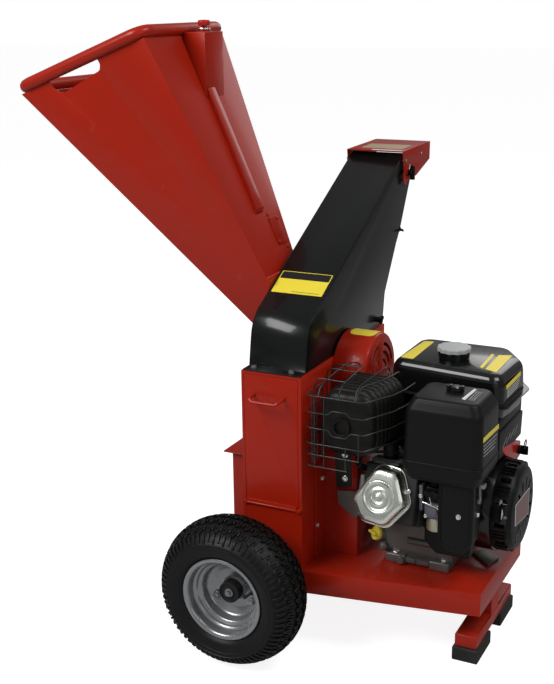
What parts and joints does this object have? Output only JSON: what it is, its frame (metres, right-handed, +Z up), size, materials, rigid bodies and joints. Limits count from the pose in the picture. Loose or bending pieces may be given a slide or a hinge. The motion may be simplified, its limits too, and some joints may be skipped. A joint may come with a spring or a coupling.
{
  "type": "petrol wood chipper",
  "caption": "Two-wheeled disc wood chipper: tilted feed hopper, tall discharge chute with a tilting hood, belt drive and a single cylinder petrol engine on a folded steel deck.",
  "frame": {"origin": "on the ground, at the centre of the footprint of the whole machine's box", "axes": "+Z up; +X from the hopper side towards the foot and the engine's starter; +Y from the door side towards the side that the chute throws to"},
  "size_m": [1.1419, 0.929, 1.3256],
  "materials": {
    "red_paint": "gloss powder coat",
    "black_paint": "gloss black paint",
    "black_plastic": "moulded, satin",
    "cast_alloy": "as cast",
    "fin_alloy": "as cast, sooty",
    "bright_steel": "bright plated",
    "grey_steel": "machined",
    "tyre_rubber": "moulded rubber",
    "pad_rubber": "moulded rubber",
    "wheel_silver": "silver paint",
    "yellow_plastic": "moulded",
    "red_plastic": "moulded"
  },
  "bodies": {
    "root": {"deck": "red_paint", "foot_frame": "red_paint", "rotor_housing": "red_paint", "battery_box": "red_paint", "battery_lid": "red_paint", "belt_guard": "red_paint", "pulley_cowl": "red_paint", "hopper": "red_paint", "hopper_rim": "red_paint", "stop_box": "red_paint", "cable_duct": "red_paint", "chute": "black_paint", "muffler": "black_paint", "muffler_guard": "black_paint", "starter_motor": "black_paint", "battery": "black_plastic", "fan_shroud": "black_plastic", "recoil_cover": "black_plastic", "fuel_tank": "black_plastic", "air_cleaner_cover": "black_plastic", "air_cleaner_base": "black_plastic", "crankcase": "cast_alloy", "bearing_left": "cast_alloy", "bearing_right": "cast_alloy", "carburettor": "cast_alloy", "cylinder": "fin_alloy", "anvil": "bright_steel", "valve_cover": "bright_steel", "axle": "grey_steel", "foot_pad_front": "pad_rubber", "foot_pad_back": "pad_rubber", "drive_belt_1": "pad_rubber", "drive_belt_2": "pad_rubber", "key_switch": "red_plastic"},
    "wheel_front": {"tyre_front": "tyre_rubber", "rim_front": "wheel_silver"},
    "wheel_back": {"tyre_back": "tyre_rubber", "rim_back": "wheel_silver"},
    "rotor": {"rotor_shaft": "bright_steel", "rotor_disc": "grey_steel", "knife_1": "bright_steel", "knife_2": "bright_steel", "rotor_pulley": "grey_steel"},
    "crank": {"crankshaft": "bright_steel", "clutch_pulley": "grey_steel", "flywheel": "grey_steel"},
    "door": {"rotor_door": "red_paint"},
    "hood_body": {"hood": "red_paint"},
    "left_hood_knob": {"hood_knob_left": "black_plastic"},
    "right_hood_knob": {"hood_knob_right": "black_plastic"},
    "back_chute_knob": {"chute_knob": "black_plastic"},
    "stop_push": {"stop_button": "red_plastic"},
    "tank_cap": {"fuel_cap": "bright_steel"},
    "oil_dipstick": {"dipstick": "yellow_plastic"},
    "filter_knob": {"cleaner_knob": "black_plastic"},
    "key": {"ignition_key": "black_plastic"},
    "throttle": {"throttle_lever": "grey_steel"},
    "choke": {"choke_lever": "black_plastic"},
    "pull_starter": {"starter_grip": "black_plastic"}
  },
  "joints": [
    {"name": "wheel_front_spin", "type": "hinge", "parent": "root", "child": "wheel_front", "pos_m": [0.04595, -0.3985, 0.165], "axis": [0, 1, 0], "continuous": true},
    {"name": "wheel_back_spin", "type": "hinge", "parent": "root", "child": "wheel_back", "pos_m": [0.04595, 0.2655, 0.165], "axis": [0, 1, 0], "continuous": true},
    {"name": "rotor_spin", "type": "hinge", "parent": "root", "child": "rotor", "pos_m": [0.04595, -0.0465, 0.567], "axis": [-1, 0, 0], "continuous": true},
    {"name": "crank_spin", "type": "hinge", "parent": "root", "child": "crank", "pos_m": [0.34595, -0.0465, 0.31], "axis": [-1, 0, 0], "continuous": true},
    {"name": "door_hinge", "type": "hinge", "parent": "root", "child": "door", "pos_m": [0.08495, -0.2915, 0.319], "axis": [1, 0, 0], "range_deg": [0, 75]},
    {"name": "hood_tilt", "type": "hinge", "parent": "root", "child": "hood_body", "pos_m": [0.08595, 0.2885, 0.992], "axis": [1, 0, 0], "range_deg": [-27, 22]},
    {"name": "hood_knob_left_turn", "type": "hinge", "parent": "root", "child": "left_hood_knob", "pos_m": [0.01295, 0.3155, 0.961], "axis": [-1, 0, 0], "continuous": true},
    {"name": "hood_knob_right_turn", "type": "hinge", "parent": "root", "child": "right_hood_knob", "pos_m": [0.15895, 0.3155, 0.961], "axis": [1, 0, 0], "continuous": true},
    {"name": "chute_knob_turn", "type": "hinge", "parent": "root", "child": "back_chute_knob", "pos_m": [0.08595, 0.1955, 0.6208], "axis": [0, 0, 1], "continuous": true},
    {"name": "stop_button_push", "type": "slide", "parent": "root", "child": "stop_push", "axis": [0, 0, -1], "range_m": [0, 0.004], "stiffness_N_per_m": 600},
    {"name": "fuel_cap_turn", "type": "hinge", "parent": "root", "child": "tank_cap", "pos_m": [0.39395, -0.0165, 0.618], "axis": [0, 0, 1], "range_deg": [0, 90]},
    {"name": "dipstick_turn", "type": "hinge", "parent": "root", "child": "oil_dipstick", "pos_m": [0.27795, -0.1541, 0.2354], "axis": [-0.5512, -0.7616, 0.3407], "continuous": true},
    {"name": "cleaner_knob_turn", "type": "hinge", "parent": "root", "child": "filter_knob", "pos_m": [0.45395, -0.1865, 0.6], "axis": [0, 0, 1], "continuous": true},
    {"name": "key_turn", "type": "hinge", "parent": "root", "child": "key", "pos_m": [0.52995, 0.0415, 0.405], "axis": [1, 0, 0], "range_deg": [0, 75]},
    {"name": "throttle_swing", "type": "hinge", "parent": "root", "child": "throttle", "pos_m": [0.52345, -0.2185, 0.385], "axis": [1, 0, 0], "range_deg": [-30, 30]},
    {"name": "choke_swing", "type": "hinge", "parent": "root", "child": "choke", "pos_m": [0.40995, -0.2168, 0.383], "axis": [0, -1, 0], "range_deg": [0, 60]},
    {"name": "starter_pull", "type": "slide", "parent": "root", "child": "pull_starter", "axis": [0, 1, 0], "range_m": [0, 0.15], "stiffness_N_per_m": 60}
  ],
  "couplings": [
    {"joint": "crank_spin", "follows": "rotor_spin", "ratio": 1.3}
  ]
}
